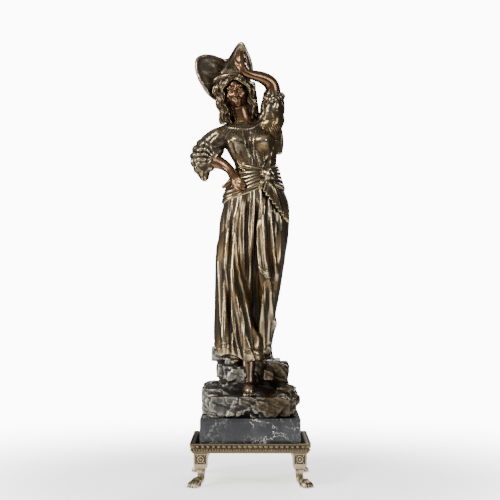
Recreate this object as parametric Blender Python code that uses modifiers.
"""A cast bronze woman in a wide soft hat, on a marble plinth in a square brass stand with paw feet.

Run it with: blender --background --factory-startup --python part.py
Lengths are in metres, +Z is up, the woman faces -Y, and the origin is on the floor under the middle.
The figure keeps its pose and carving as shares of its own height: its points are in figure units.
"""

import math

import bmesh
import bpy
import numpy as np
from mathutils import Euler, Matrix, Vector

# Stand
TRAY_RIM_HEIGHT = 0.017
TRAY_RIM_WIDTH = 0.0105
TRAY_FLOOR = 0.006
TRAY_CHANNEL = 0.007
LEG_HEIGHT = 0.060
LEG_BLOCK_WIDTH = 0.0246
LEG_BLOCK_HEIGHT = 0.0215
LEG_INSET = 0.0066
LEG_PANEL_MARGIN = 0.0042
LEG_PANEL_DEPTH = 0.0012
LEG_COLLAR_HEIGHT = 0.0052
LEG_COLLAR_STEP = 0.0026
PAW_HEIGHT = LEG_HEIGHT - LEG_BLOCK_HEIGHT - LEG_COLLAR_HEIGHT
PAW_ANKLE_RADIUS = 0.0055
PAW_REACH = 0.0268
PAW_TOES = 4
PAW_TOE_RADIUS = 0.0046
PAW_SPREAD = 40.0

# Marble plinth
PLINTH_WIDTH = 0.178
PLINTH_DEPTH = 0.178
PLINTH_HEIGHT = 0.0527
PLINTH_EDGE = 0.0012

# Bronze figure
FIGURE_HEIGHT = 0.594
HAT_THICKNESS = 0.0046
FIGURE_TRIANGLES = 7900

# Gap left between pieces that touch
SEAT_GAP = 0.0003

# How finely the cast pieces are skinned
FIGURE_VOXEL = 0.0022
PAW_VOXEL = 0.0009
PAW_TRIANGLES = 300

# Worked out
TRAY_BOTTOM = LEG_HEIGHT + SEAT_GAP
TRAY_WIDTH = PLINTH_WIDTH + 2 * (TRAY_CHANNEL + TRAY_RIM_WIDTH)
TRAY_DEPTH = PLINTH_DEPTH + 2 * (TRAY_CHANNEL + TRAY_RIM_WIDTH)
PLINTH_BOTTOM = TRAY_BOTTOM + TRAY_FLOOR + SEAT_GAP
PLINTH_TOP = PLINTH_BOTTOM + PLINTH_HEIGHT
BRONZE_BOTTOM = PLINTH_TOP + SEAT_GAP
FIGURE_UNITS = 594.0
UNIT = FIGURE_HEIGHT / FIGURE_UNITS

# The tray's rim from its foot to its top edge: share of the rim's width inwards, share of its height
RIM_PROFILE = ((0.42, 0.0), (0.42, 0.14), (0.20, 0.22), (0.15, 0.34), (0.20, 0.46), (0.04, 0.54), (0.0, 0.72),
               (0.0, 0.92), (0.12, 1.0))

# The pose. Each row is x, y, z and a radius, in figure units over the plinth's top.
NECK = ((-10, 8, 520, 19), (-14, 5, 536, 16.5), (-18, 1, 552, 15.5), (-22, 0, 568, 16))
SHOULDERS = ((-58, 7, 506, 19), (-34, 6, 518, 17), (-10, 6, 523, 17), (14, 6, 523, 18), (34, 5, 518, 23))
AKIMBO_SLEEVE = ((-57, 6, 507, 20), (-74, 7, 495, 21), (-89, 6, 479, 22), (-93, 4, 463, 20),
                 (-87, 4, 447, 14), (-85, 4, 435, 8.5))
AKIMBO_CUFF = ((-58, 4, 484, 11), (-68, -3, 468, 11), (-74, -2, 452, 9))
LEFT_HAIR = ((-42, 8, 596, 16), (-42, 8, 570, 12), (-41, 6, 550, 10), (-38, 6, 532, 8))
AKIMBO_FOREARM = ((-82, 4, 462, 14), (-64, -1, 462, 12.5), (-48, -8, 455, 9.5), (-34, -18, 443, 8),
                  (-31, -22, 430, 8))
AKIMBO_FINGERS = (
    ((-30, -26, 430, 7), (-23, -36, 426, 4.8), (-13, -43, 421, 3.8)),
    ((-31, -26, 427, 7), (-24, -37, 421, 4.8), (-14, -43, 415, 3.8)),
    ((-32, -26, 425, 7), (-26, -37, 416, 4.6), (-17, -43, 409, 3.6)),
    ((-33, -18, 428, 6), (-43, -14, 420, 4.0), (-54, -8, 415, 2.8)),
)
RAISED_SLEEVE = ((31, 5, 518, 24), (37, 3, 536, 24), (41, 0, 556, 22), (41, -2, 572, 20), (40, -3, 580, 18))
RAISED_CUFF = ((28, -14, 578, 6), (40, -19, 574, 6), (54, -12, 580, 6), (57, 4, 584, 6), (42, 14, 582, 6),
               (27, 4, 580, 6))
RAISED_FOREARM = ((42, -3, 576, 13), (42, -4, 592, 13), (37, -7, 606, 13), (21, -16, 614.5, 11),
                  (1, -26, 618.5, 9.2), (-13, -31, 626, 8.5), (-18, -29, 638, 9.5))
RAISED_FINGERS = (
    ((-20, -27, 640, 6.5), (-22, -19, 653, 4.4), (-22, -2, 665, 3.4)),
    ((-16, -27, 641, 6.5), (-16, -18, 654, 4.4), (-15, -2, 667, 3.4)),
    ((-12, -27, 639, 6), (-9, -18, 650, 4.2), (-8, -3, 661, 3.2)),
    ((-21, -29, 636, 6), (-28, -24, 643, 4), (-33, -14, 650, 3.2)),
)
SLEEVE_POUCH = ((44, 12, 536, 10), (50, 16, 515, 10), (52, 19, 495, 9), (53, 20, 482, 6))
BARE_SHIN = ((-6, -14, 130, 15), (-3, -22, 98, 13), (-3, -30, 72, 10.5), (-3, -34, 58, 10))
BARE_FOOT = ((-3, -24, 50, 11), (-3, -40, 49, 11), (-2, -54, 45, 10.5), (-2, -62, 42, 8))
SIDE_HAIR = (
    ((-50, -14, 616, 8), (-58, -18, 602, 9), (-62, -18, 590, 8), (-57, -17, 574, 9), (-57, -15, 562, 9),
     (-50, -14, 550, 9), (-50, -12, 534, 8)),
    ((-38, -22, 612, 7), (-48, -26, 600, 6), (-51, -25, 584, 6), (-47, -22, 568, 8), (-43, -20, 552, 6),
     (-44, -18, 540, 5)),
    ((-8, -20, 612, 7), (-2, -16, 602, 8), (-1, -12, 588, 8), (2, -8, 574, 9), (8, -2, 560, 9)),
)
HAT_BAND = ((-66, -12, 618, 4), (-52, -22, 624, 4), (-38, -29, 630, 4), (-24, -31, 636, 4), (-12, -26, 634, 4))
SCARF = ((-66, -10, 604, 5), (-60, -22, 612, 6), (-46, -31, 617, 7), (-32, -35, 621, 6), (-16, -31, 622, 6),
         (-4, -20, 616, 6))
KNOT_TAIL = ((28, -38, 430, 10), (43, -38, 412, 12), (54, -32, 392, 13), (61, -22, 374, 12), (64, -12, 360, 9))
NECK_RUFFLE = ((-44, -10, 526, 5), (-34, -24, 522, 5), (-20, -28, 518, 5), (-4, -28, 518, 5), (8, -22, 526, 6),
               (20, -12, 538, 6))

# Blobs: centre, half sizes and turn in degrees about X, Y and Z
HEAD = ((-27, -4, 590), (25, 31, 36), (0, -12, 0))
JAW = ((-23, -14, 571), (17, 18, 15), (0, -12, 0))
NOSE = ((-26, -35, 588), (3.4, 5, 7.5), (-16, -12, 0))
HAIR = ((-29, 5, 597), (34, 33, 34), (0, -12, 0))
HAT_CROWN = ((-38, 30, 618), (34, 24, 32), (25, 0, 0))
BREASTS = (((-24, -22, 498), (20, 17, 18), (0, 0, 0)), ((22, -22, 500), (20, 18, 19), (0, 0, 0)))
KNOT = ((29, -38, 434), (13, 9, 12), (0, 30, 0))

# Draped columns. Each row is z, middle x, middle y, half width and half depth.
BACK_HAIR = ((612, -22, 22, 30, 18), (590, -18, 22, 29, 20), (566, -15, 21, 29, 19), (546, -12, 20, 29, 16),
             (530, -10, 20, 24, 12), (514, -8, 22, 14, 8))
TORSO = ((437, 11, 4, 42, 32), (455, 10, 4, 38, 30), (473, 6, 3, 43, 31), (492, 2, 3, 49, 32),
         (508, -3, 4, 49, 31), (522, -8, 5, 42, 26), (534, -13, 6, 28, 20))
SKIRT = ((456, 11, 4, 37, 31), (444, 11, 4, 39, 32), (432, 11, 4, 42, 34), (414, 10, 4, 49, 37),
         (400, 10, 4, 55, 39), (382, 11, 4, 59, 41), (355, 8, 3, 62.5, 42), (320, 5, 2, 63, 41),
         (289, 1, 0, 62, 40), (268, -2, 0, 59, 38))
STRAIGHT_LEG = ((350, -20, 2, 20, 26), (325, -26, 0, 31, 35), (289, -29, -1, 33, 38), (260, -31, -2, 32, 37), (226, -31, -2, 33, 36),
                (184, -30, -2, 35, 36), (144, -29, -2, 37, 36), (114, -28, -3, 37, 36), (104, -27, -4, 35, 34))
BENT_LEG = ((350, 26, 2, 20, 26), (325, 34, -4, 28, 33), (289, 36, -10, 27, 36), (262, 35, -13, 24, 33), (235, 33, -14, 22, 29),
            (210, 31, -11, 19.5, 26), (180, 28, -5, 17, 25), (165, 29, 0, 18, 26), (147, 28, 4, 16, 26),
            (120, 27, 8, 13, 24), (104, 24, 8, 9, 18))
OVER_DRAPE = ((385, 24, 0, 16, 24), (360, 28, -6, 23, 33), (340, 28, -9, 25, 36), (310, 28, -12, 24, 37), (280, 28, -15, 22, 36), (252, 28, -16, 21, 34))
BACK_DRAPE = ((330, 0, 16, 34, 20), (290, 0, 16, 42, 22), (230, -2, 14, 46, 22), (170, -4, 14, 46, 22),
              (126, -6, 14, 46, 22), (104, -6, 12, 44, 20))
HEMS = {"SKIRT": (0.0, 0, 0), "STRAIGHT_LEG": (-0.28, 5, 4), "BENT_LEG": (0.1, 4, 4), "OVER_DRAPE": (-0.55, 4, 5),
        "BACK_DRAPE": (0.1, 7, 4)}

# Folds on the front: top and bottom z, x at the top, middle and bottom, width, and height (a groove if below 0)
FRONT_FOLDS = (
    (384, 122, -36, -43.5, -44.5, 4.5, 5), (350, 118, -34, -38, -37, 3.5, -8), (392, 112, -24, -33, -28, 5, 4),
    (384, 222, -20, -26, -12, 4, 4), (240, 96, -28, -22, -8, 4.5, 6), (386, 250, -7, -8, -5, 5, -9),
    (398, 262, 8, 4, 2, 4, 5), (372, 258, 12, 10, 11, 2.6, -7), (404, 240, 20, 16, 20, 3.5, 5),
    (398, 232, 26, 25, 36, 4.5, 5), (384, 256, 36, 39, 45, 3.5, 5), (352, 250, 32, 35, 41, 2.6, -5),
    (366, 240, 52, 53, 46, 5.5, 5), (238, 136, 30, 22, 17, 4, 6), (232, 158, 36, 38, 45, 4, 5),
    (240, 120, 31, 30, 30, 3, -4), (250, 120, -51, -52, -54, 5, 4), (212, 104, -10, -6, 0, 4, -4),
)
BODICE_FOLDS = (
    (516, 440, -8, 0, 20, 4, 3), (512, 440, -20, -10, 14, 4, 3), (510, 440, 10, 14, 26, 4, 3),
    (508, 446, 34, 38, 34, 4.5, 3.5), (512, 480, -2, -1, 0, 4, -4),
)

# Sash: for each wound band its height at the left, in front, at the knot, at the right and behind, and its radius
SASH_ANGLES = (180, 235, 293, 360, 450, 540)
SASH_BANDS = (
    (388, 402, 424, 414, 404, 6.5), (397, 410, 430, 424, 414, 6.5), (407, 419, 434, 433, 424, 6),
    (417, 428, 437, 441, 434, 6), (428, 438, 440, 448, 444, 5), (440, 452, 443, 454, 452, 4),
)

# Hat brim, seen from the front about its middle: angle in degrees, reach, and depth of its edge
HAT_MIDDLE = (-45, 625)
HAT_CENTRE_DEPTH = 24
HAT_RIM = ((5, 51, -2), (27, 53, -6), (45, 57, -10), (60, 64, -12), (68, 61, -8), (74, 36, 4), (82, 29, 10),
           (97, 29, 13), (114, 35, 8), (139, 51, -10), (147, 57, -15), (156, 60, -19), (164, 59, -22),
           (177, 56, -24), (193, 53, -23), (211, 51, -19), (232, 53, -8), (249, 54, 6), (275, 50, 26),
           (305, 47, 32), (335, 45, 20))

# Rock: centre, half sizes and turn about Z in degrees of each block
ROCKS = (
    ((-44, 8, 24), (44, 68, 26), 2), ((40, 4, 24), (46, 66, 26), -3), ((-32, -44, 16), (40, 34, 22), 4),
    ((30, -48, 15), (42, 30, 22), -5), ((0, 0, 16), (56, 74, 18), 1), ((0, 24, 66), (54, 38, 34), -3),
    ((46, 6, 71), (23, 40, 27), 5), ((-40, -12, 66), (16, 22, 24), 14), ((-24, -18, 64), (20, 22, 26), -8),
    ((-57, -2, 109), (13, 15, 15), 30), ((-32, -12, 106), (13, 13, 14), 12), ((29, 24, 96), (16, 22, 24), 30),
    ((66, 10, 36), (20, 44, 18), -8), ((-66, 20, 42), (20, 34, 18), 10),
)
ROCK_CORNERS = 26
ROCK_SEED = 7

# Smoothing steps where limbs and body run together
SOFTENING = 14


def clear_scene():
    """Starts from an empty scene."""
    for obj in list(bpy.data.objects):
        bpy.data.objects.remove(obj, do_unlink=True)


def material(name, colour, roughness, metallic):
    """A plain Principled material."""
    mat = bpy.data.materials.new(name)
    mat.use_nodes = True
    shader = mat.node_tree.nodes["Principled BSDF"]
    shader.inputs["Base Color"].default_value = (*colour, 1.0)
    shader.inputs["Roughness"].default_value = roughness
    shader.inputs["Metallic"].default_value = metallic
    mat.diffuse_color = (*colour, 1.0)
    return mat


def figure_point(x, y, z):
    """A point of the figure over its own base, from figure units."""
    return Vector((x, y, z)) * UNIT


def smooth_rows(rows, steps):
    """Rows of numbers, with a smooth curve through them and steps rows for each span."""
    given = np.array(rows, float)
    ends = np.vstack([2 * given[0] - given[1], given, 2 * given[-1] - given[-2]])
    made = []
    for a, b, c, d in zip(ends, ends[1:], ends[2:], ends[3:]):
        for t in np.arange(steps) / steps:
            made.append(0.5 * (2 * b + (c - a) * t + (2 * a - 5 * b + 4 * c - d) * t * t
                               + (3 * b - a - 3 * c + d) * t ** 3))
    made.append(given[-1])
    return made


def as_mesh(obj):
    """The object's evaluated shape as a plain mesh object in world space, in place of the object."""
    graph = bpy.context.evaluated_depsgraph_get()
    graph.update()
    mesh = bpy.data.meshes.new_from_object(obj.evaluated_get(graph))
    mesh.transform(obj.matrix_world)
    name = obj.name
    bpy.data.objects.remove(obj, do_unlink=True)
    made = bpy.data.objects.new(name, mesh)
    bpy.context.scene.collection.objects.link(made)
    return made


def tube(name, rows, steps=4):
    """A limb, lock or roll of cloth: a bevelled curve whose radius changes along it."""
    curve = bpy.data.curves.new(name, "CURVE")
    curve.dimensions = "3D"
    curve.bevel_depth = UNIT
    curve.bevel_resolution = 3
    curve.use_fill_caps = True
    spline = curve.splines.new("POLY")
    made = smooth_rows(rows, steps)
    spline.points.add(len(made) - 1)
    for point, (x, y, z, radius) in zip(spline.points, made):
        point.co = (*figure_point(x, y, z), 1.0)
        point.radius = radius
    obj = bpy.data.objects.new(name, curve)
    bpy.context.scene.collection.objects.link(obj)
    bpy.context.view_layer.update()
    made = as_mesh(obj)
    ends = [blob(name + "_end", row[:3], (row[3],) * 3) for row in (rows[0], rows[-1])]
    return [made, *ends]


def blob(name, centre, half_sizes, turn=(0, 0, 0)):
    """An ellipsoid, from a UV sphere."""
    bpy.ops.mesh.primitive_uv_sphere_add(segments=20, ring_count=12, radius=1.0)
    obj = bpy.context.object
    obj.name = name
    turned = Euler([math.radians(a) for a in turn]).to_matrix().to_4x4()
    scaled = Matrix.Diagonal((*[h * UNIT for h in half_sizes], 1.0))
    obj.data.transform(Matrix.Translation(figure_point(*centre)) @ turned @ scaled)
    return obj


def loft(name, rings):
    """A closed skin over rings of points that all have as many points."""
    bm = bmesh.new()
    rows = [[bm.verts.new(p) for p in ring] for ring in rings]
    for low, high in zip(rows, rows[1:]):
        for i, vert in enumerate(low):
            after = (i + 1) % len(low)
            bm.faces.new((vert, low[after], high[after], high[i]))
    bm.faces.new(rows[0])
    bm.faces.new(rows[-1])
    bmesh.ops.recalc_face_normals(bm, faces=bm.faces)
    mesh = bpy.data.meshes.new(name)
    bm.to_mesh(mesh)
    bm.free()
    obj = bpy.data.objects.new(name, mesh)
    bpy.context.scene.collection.objects.link(obj)
    return obj


def fold_height(x, z, folds):
    """How far the folds stand out at x and z."""
    height = 0.0
    for top, bottom, x_top, x_middle, x_bottom, width, crest in folds:
        share = (top - z) / (top - bottom)
        ends = min(share, 1.0 - share)
        if ends > -0.12:
            line = x_top + (x_bottom - x_top) * share + (4 * x_middle - 2 * x_top - 2 * x_bottom) * share * (1 - share)
            fade = min(1.0, (ends + 0.12) / 0.24)
            height += crest * fade * math.exp(-((x - line) / width) ** 2)
    return height


def drape(name, rows, flutes=(0, 0.0), folds=(), hem=(0.0, 0, 0.0), points=96):
    """A column of cloth: an oval that changes with height, folded in front, fluted behind, with a cut hem."""
    count, depth = flutes
    slope, points_of_hem, hem_depth = hem
    top, bottom = rows[0][0], rows[-1][0]
    rings = []
    for z, mid_x, mid_y, half_width, half_depth in smooth_rows(rows, 5):
        fall = (top - z) / (top - bottom)
        ring = []
        for i in range(points):
            angle = math.tau * i / points
            x = mid_x + half_width * math.cos(angle)
            front = max(0.0, min(1.0, 0.5 - 1.6 * math.sin(angle)))
            crest = 1.6 * abs(math.sin(0.5 * count * angle + 0.9 * math.sin(3.0 * fall + angle))) ** 0.7 - 1.0
            out = fold_height(x, z, folds) * front + half_depth * depth * crest * (1.0 - front)
            drop = slope * (x - mid_x) + hem_depth * (2.0 * abs(math.sin(0.5 * points_of_hem * angle)) - 1.0)
            ring.append(figure_point(x + out * math.cos(angle),
                                     mid_y + half_depth * math.sin(angle) + out * math.sin(angle),
                                     z + drop * fall ** 3))
        rings.append(ring)
    return loft(name, rings)


def sash_band(name, heights, radius):
    """One band of the sash, wound round the hips and rising to the knot on the figure's left."""
    level = np.array(sorted(smooth_rows(SKIRT, 4), key=lambda row: row[0]))
    rows = []
    for degrees in np.linspace(SASH_ANGLES[0], SASH_ANGLES[-1], 41):
        z = np.interp(degrees, SASH_ANGLES, (*heights, heights[0]))
        angle = math.radians(degrees)
        mid_x, mid_y, half_width, half_depth = (np.interp(z, level[:, 0], level[:, k]) for k in range(1, 5))
        rows.append((mid_x + half_width * math.cos(angle), mid_y + half_depth * math.sin(angle), z, radius))
    return tube(name, rows, steps=1)


def hat_brim():
    """The brim, a soft disc that stands behind the head, droops on one side and turns up on the other."""
    ring_count = 9
    points = 84
    table = np.array(HAT_RIM, float)
    wrapped = np.vstack([table[-1] - (360, 0, 0), table, table[0] + (360, 0, 0)])
    bm = bmesh.new()
    rows = []
    for ring in range(1, ring_count + 1):
        out = ring / ring_count
        row = []
        for i in range(points):
            degrees = 360.0 * i / points + 2.0
            reach = np.interp(degrees, wrapped[:, 0], wrapped[:, 1])
            edge = np.interp(degrees, wrapped[:, 0], wrapped[:, 2])
            depth = HAT_CENTRE_DEPTH + (edge - HAT_CENTRE_DEPTH) * out ** 1.7
            angle = math.radians(degrees)
            row.append(bm.verts.new(figure_point(HAT_MIDDLE[0] + reach * out * math.cos(angle), depth,
                                                 HAT_MIDDLE[1] + reach * out * math.sin(angle))))
        rows.append(row)
    for inner, outer in zip(rows, rows[1:]):
        for i, vert in enumerate(inner):
            after = (i + 1) % points
            bm.faces.new((vert, inner[after], outer[after], outer[i]))
    bm.faces.new(rows[0])
    bmesh.ops.recalc_face_normals(bm, faces=bm.faces)
    mesh = bpy.data.meshes.new("brim")
    bm.to_mesh(mesh)
    bm.free()
    obj = bpy.data.objects.new("brim", mesh)
    bpy.context.scene.collection.objects.link(obj)
    wall = obj.modifiers.new("Wall", "SOLIDIFY")
    wall.thickness = HAT_THICKNESS
    wall.offset = 0.0
    bpy.context.view_layer.update()
    return as_mesh(obj)


def rock(name, centre, half_sizes, turn, seed):
    """A craggy block of rock: the hull of points scattered near the faces of a box."""
    scatter = np.random.default_rng(seed)
    corners = scatter.uniform(-1.0, 1.0, (ROCK_CORNERS, 3))
    corners /= np.maximum(0.01, np.max(np.abs(corners), axis=1))[:, None]
    corners = np.clip(corners * 1.12, -1.0, 1.0)
    corners[:, 2] = np.where(corners[:, 2] < -0.6, -1.0, corners[:, 2])
    turned = Matrix.Rotation(math.radians(turn), 3, "Z")
    bm = bmesh.new()
    for corner in corners:
        offset = turned @ Vector([c * h for c, h in zip(corner, half_sizes)])
        bm.verts.new(figure_point(*(Vector(centre) + offset)))
    hull = bmesh.ops.convex_hull(bm, input=bm.verts)
    bmesh.ops.delete(bm, geom=[v for v in hull["geom_interior"] if isinstance(v, bmesh.types.BMVert)],
                     context="VERTS")
    bmesh.ops.recalc_face_normals(bm, faces=bm.faces)
    mesh = bpy.data.meshes.new(name)
    bm.to_mesh(mesh)
    bm.free()
    obj = bpy.data.objects.new(name, mesh)
    bpy.context.scene.collection.objects.link(obj)
    return obj


def largest_part(mesh):
    """Keeps the mesh's largest connected skin, without the cavities and crumbs inside it."""
    bm = bmesh.new()
    bm.from_mesh(mesh)
    left = set(bm.verts)
    parts = []
    while left:
        front = [left.pop()]
        part = set(front)
        while front:
            vert = front.pop()
            for edge in vert.link_edges:
                other = edge.other_vert(vert)
                if other not in part:
                    part.add(other)
                    left.discard(other)
                    front.append(other)
        parts.append(part)
    parts.sort(key=len)
    spare = [vert for part in parts[:-1] for vert in part]
    bmesh.ops.delete(bm, geom=spare, context="VERTS")
    bm.to_mesh(mesh)
    bm.free()


def cast(name, pieces, voxel, softening, triangles):
    """One casting: the pieces under one skin, softened, thinned and cut off flat at its base."""
    with bpy.context.temp_override(active_object=pieces[0], selected_editable_objects=pieces):
        bpy.ops.object.join()
    body = pieces[0]
    body.name = name
    skin = body.modifiers.new("Skin", "REMESH")
    skin.mode = "VOXEL"
    skin.voxel_size = voxel
    body = as_mesh(body)
    largest_part(body.data)
    soften = body.modifiers.new("Soften", "SMOOTH")
    soften.factor = 0.5
    soften.iterations = softening
    thin = body.modifiers.new("Thin", "DECIMATE")
    thin.ratio = triangles / (2 * len(body.data.polygons))
    thin.use_collapse_triangulate = True
    bpy.context.view_layer.update()
    body = as_mesh(body)
    cut_flat(body.data)
    largest_part(body.data)
    return body


def cut_flat(mesh):
    """Cuts the mesh off at its own zero height and closes it there."""
    bm = bmesh.new()
    bm.from_mesh(mesh)
    everything = [*bm.verts, *bm.edges, *bm.faces]
    bmesh.ops.bisect_plane(bm, geom=everything, dist=1e-6, plane_co=(0, 0, 0), plane_no=(0, 0, -1),
                           clear_outer=True)
    open_edges = [edge for edge in bm.edges if edge.is_boundary]
    bmesh.ops.holes_fill(bm, edges=open_edges, sides=0)
    bmesh.ops.triangulate(bm, faces=bm.faces)
    bmesh.ops.recalc_face_normals(bm, faces=bm.faces)
    bm.to_mesh(mesh)
    bm.free()


def bronze_figure(finish):
    """The woman, her clothes and hat and the rock that she stands on, cast as one."""
    body = drape("torso", TORSO, (9, 0.03), BODICE_FOLDS)
    blobs = [blob(f"blob_{i}", *row) for i, row in enumerate((HEAD, JAW, NOSE, *BREASTS))]
    limbs = [tube(f"limb_{i}", rows) for i, rows in enumerate((NECK, SHOULDERS, AKIMBO_SLEEVE, RAISED_SLEEVE))]
    soft = melt("soft", [body, *blobs, *[part for parts in limbs for part in parts]], SOFTENING)
    pieces = [
        soft,
        drape("skirt", SKIRT, (9, 0.09), FRONT_FOLDS, HEMS["SKIRT"]),
        drape("straight_leg", STRAIGHT_LEG, (9, 0.10), FRONT_FOLDS, HEMS["STRAIGHT_LEG"]),
        drape("bent_leg", BENT_LEG, (7, 0.10), FRONT_FOLDS, HEMS["BENT_LEG"]),
        drape("over_drape", OVER_DRAPE, (5, 0.08), FRONT_FOLDS, HEMS["OVER_DRAPE"]),
        drape("back_drape", BACK_DRAPE, (9, 0.12), (), HEMS["BACK_DRAPE"]),
        drape("back_hair", BACK_HAIR, (9, 0.10)),
        hat_brim(),
    ]
    details = (AKIMBO_CUFF, AKIMBO_FOREARM, *AKIMBO_FINGERS, RAISED_CUFF, RAISED_FOREARM, *RAISED_FINGERS,
               SLEEVE_POUCH, BARE_SHIN, BARE_FOOT, *SIDE_HAIR, LEFT_HAIR, HAT_BAND, SCARF, KNOT_TAIL, NECK_RUFFLE)
    for i, rows in enumerate(details):
        pieces += tube(f"detail_{i}", rows)
    for i, row in enumerate((HAIR, HAT_CROWN, KNOT)):
        pieces.append(blob(f"mass_{i}", *row))
    for i, (*heights, radius) in enumerate(SASH_BANDS):
        pieces += sash_band(f"sash_{i}", heights, radius)
    for i, (centre, half_sizes, turn) in enumerate(ROCKS):
        pieces.append(rock(f"rock_{i}", centre, half_sizes, turn, i + ROCK_SEED))
    body = cast("bronze_figure", pieces, FIGURE_VOXEL, 2, FIGURE_TRIANGLES)
    return finished(body, finish, (0.0, 0.0, BRONZE_BOTTOM))


def melt(name, pieces, softening):
    """Pieces run together into one soft form."""
    with bpy.context.temp_override(active_object=pieces[0], selected_editable_objects=pieces):
        bpy.ops.object.join()
    body = pieces[0]
    body.name = name
    skin = body.modifiers.new("Skin", "REMESH")
    skin.mode = "VOXEL"
    skin.voxel_size = FIGURE_VOXEL
    soften = body.modifiers.new("Soften", "SMOOTH")
    soften.factor = 0.5
    soften.iterations = softening
    bpy.context.view_layer.update()
    return as_mesh(body)


def finished(obj, finish, location, turn=0.0):
    """Gives a piece its material and its place on the stand's axes, turned about Z in degrees."""
    obj.data.materials.clear()
    obj.data.materials.append(finish)
    obj.location = location
    obj.rotation_euler = (0.0, 0.0, math.radians(turn))
    return obj


def box(name, half_width, half_depth, low, high, edge=0.0):
    """A box about the Z axis, with its edges cut."""
    rings = [[(x * half_width, y * half_depth, z) for x, y in ((-1, -1), (1, -1), (1, 1), (-1, 1))]
             for z in (low, high)]
    obj = loft(name, rings)
    if edge:
        cut = obj.modifiers.new("Edge", "BEVEL")
        cut.width = edge
        cut.segments = 2
        bpy.context.view_layer.update()
        obj = as_mesh(obj)
    return obj


def marble_plinth(finish):
    """The square marble block."""
    obj = box("marble_plinth", PLINTH_WIDTH / 2, PLINTH_DEPTH / 2, 0.0, PLINTH_HEIGHT, PLINTH_EDGE)
    return finished(obj, finish, (0.0, 0.0, PLINTH_BOTTOM))


def stand_tray(finish):
    """The square tray with its moulded rim, which holds the plinth's foot."""
    profile = [(inwards * TRAY_RIM_WIDTH, up * TRAY_RIM_HEIGHT) for inwards, up in RIM_PROFILE]
    profile += [(TRAY_RIM_WIDTH, TRAY_RIM_HEIGHT), (TRAY_RIM_WIDTH, TRAY_FLOOR)]
    rings = [[(x * (TRAY_WIDTH / 2 - inwards), y * (TRAY_DEPTH / 2 - inwards), height)
              for x, y in ((-1, -1), (1, -1), (1, 1), (-1, 1))] for inwards, height in profile]
    return finished(loft("stand_tray", rings), finish, (0.0, 0.0, TRAY_BOTTOM))


def paw():
    """One paw leg about its own ankle, with its toes towards +X."""
    top = PAW_HEIGHT + LEG_COLLAR_HEIGHT * 0.5
    leg = ((0.0, 0, top, 1.3), (0.0, 0, PAW_HEIGHT * 0.86, 1.15), (-0.0003, 0, PAW_HEIGHT * 0.66, 0.97),
           (0.0003, 0, PAW_HEIGHT * 0.48, 1.0), (0.0030, 0, PAW_HEIGHT * 0.36, 1.12))
    pieces = stand_tube("paw_leg", leg, PAW_ANKLE_RADIUS)
    for i in range(PAW_TOES):
        turn = math.radians(PAW_SPREAD * (i / (PAW_TOES - 1) - 0.5))
        shares = ((0.0, 0.42, 1.05), (0.36, 0.36, 1.0), (0.66, 0.24, 1.1), (0.86, 0.08, 1.1))
        rows = [(PAW_REACH * out * math.cos(turn), PAW_REACH * out * math.sin(turn), PAW_HEIGHT * up, size)
                for out, up, size in shares]
        pieces += stand_tube(f"toe_{i}", rows, PAW_TOE_RADIUS)
    return cast("paw", pieces, PAW_VOXEL, 2, PAW_TRIANGLES)


def stand_tube(name, rows, radius):
    """A round bar of the stand through the rows x, y, z and share of the radius, with rounded ends."""
    curve = bpy.data.curves.new(name, "CURVE")
    curve.dimensions = "3D"
    curve.bevel_depth = radius
    curve.bevel_resolution = 3
    curve.use_fill_caps = True
    spline = curve.splines.new("POLY")
    made = smooth_rows(rows, 3)
    spline.points.add(len(made) - 1)
    for point, (x, y, z, share) in zip(spline.points, made):
        point.co = (x, y, z, 1.0)
        point.radius = share
    obj = bpy.data.objects.new(name, curve)
    bpy.context.scene.collection.objects.link(obj)
    bpy.context.view_layer.update()
    return [as_mesh(obj)]


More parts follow.
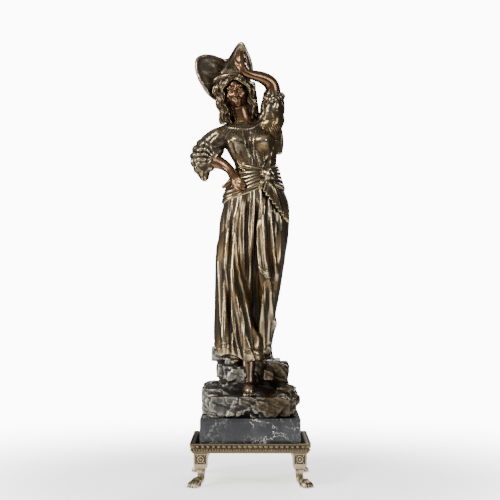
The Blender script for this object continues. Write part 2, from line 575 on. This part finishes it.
def stand_leg(name, corner, finish):
    """A corner leg: a block with sunk panels on its two outer faces, a stepped collar and a paw.

    The corners are counted round the stand from the front left one. A leg is modelled for that
    corner, about its own axis, and turned a quarter for each corner further on.
    """
    half = LEG_BLOCK_WIDTH / 2
    low = LEG_HEIGHT - LEG_BLOCK_HEIGHT
    body = box("block", half, half, low, LEG_HEIGHT)
    collar = box("collar", half - LEG_COLLAR_STEP, half - LEG_COLLAR_STEP, low - LEG_COLLAR_HEIGHT,
                 low + LEG_COLLAR_STEP)
    foot = paw()
    foot.data.transform(Matrix.Rotation(math.radians(-135), 4, "Z"))
    body = boolean(boolean(body, collar, "UNION"), foot, "UNION")
    for turn in (0, -90):
        panel = box("panel", half - LEG_PANEL_MARGIN, LEG_PANEL_DEPTH, low + LEG_PANEL_MARGIN,
                    LEG_HEIGHT - LEG_PANEL_MARGIN)
        panel.data.transform(Matrix.Rotation(math.radians(turn), 4, "Z") @ Matrix.Translation((0, -half, 0)))
        body = boolean(body, panel, "DIFFERENCE")
    body.name = name
    x = TRAY_WIDTH / 2 - LEG_INSET - half
    y = TRAY_DEPTH / 2 - LEG_INSET - half
    places = ((-x, -y, 0.0), (x, -y, 0.0), (x, y, 0.0), (-x, y, 0.0))
    return finished(body, finish, places[corner], 90 * corner)


def boolean(body, tool, operation):
    """The body joined with the tool, or cut by it."""
    step = body.modifiers.new("Boolean", "BOOLEAN")
    step.operation = operation
    step.solver = "EXACT"
    step.object = tool
    bpy.context.view_layer.update()
    made = as_mesh(body)
    bpy.data.objects.remove(tool, do_unlink=True)
    return made


def main():
    """Builds the statue's pieces and holds them together under one empty."""
    clear_scene()
    bronze = material("dark_bronze", (0.16, 0.105, 0.055), 0.38, 1.0)
    marble = material("black_marble", (0.035, 0.036, 0.04), 0.25, 0.0)
    brass = material("antique_brass", (0.42, 0.31, 0.17), 0.42, 1.0)
    pieces = [bronze_figure(bronze), marble_plinth(marble), stand_tray(brass)]
    for corner, side in enumerate(("front_left", "front_right", "back_right", "back_left")):
        pieces.append(stand_leg(f"stand_leg_{side}", corner, brass))
    statue = bpy.data.objects.new("statue", None)
    bpy.context.scene.collection.objects.link(statue)
    for piece in pieces:
        piece.parent = statue


main()
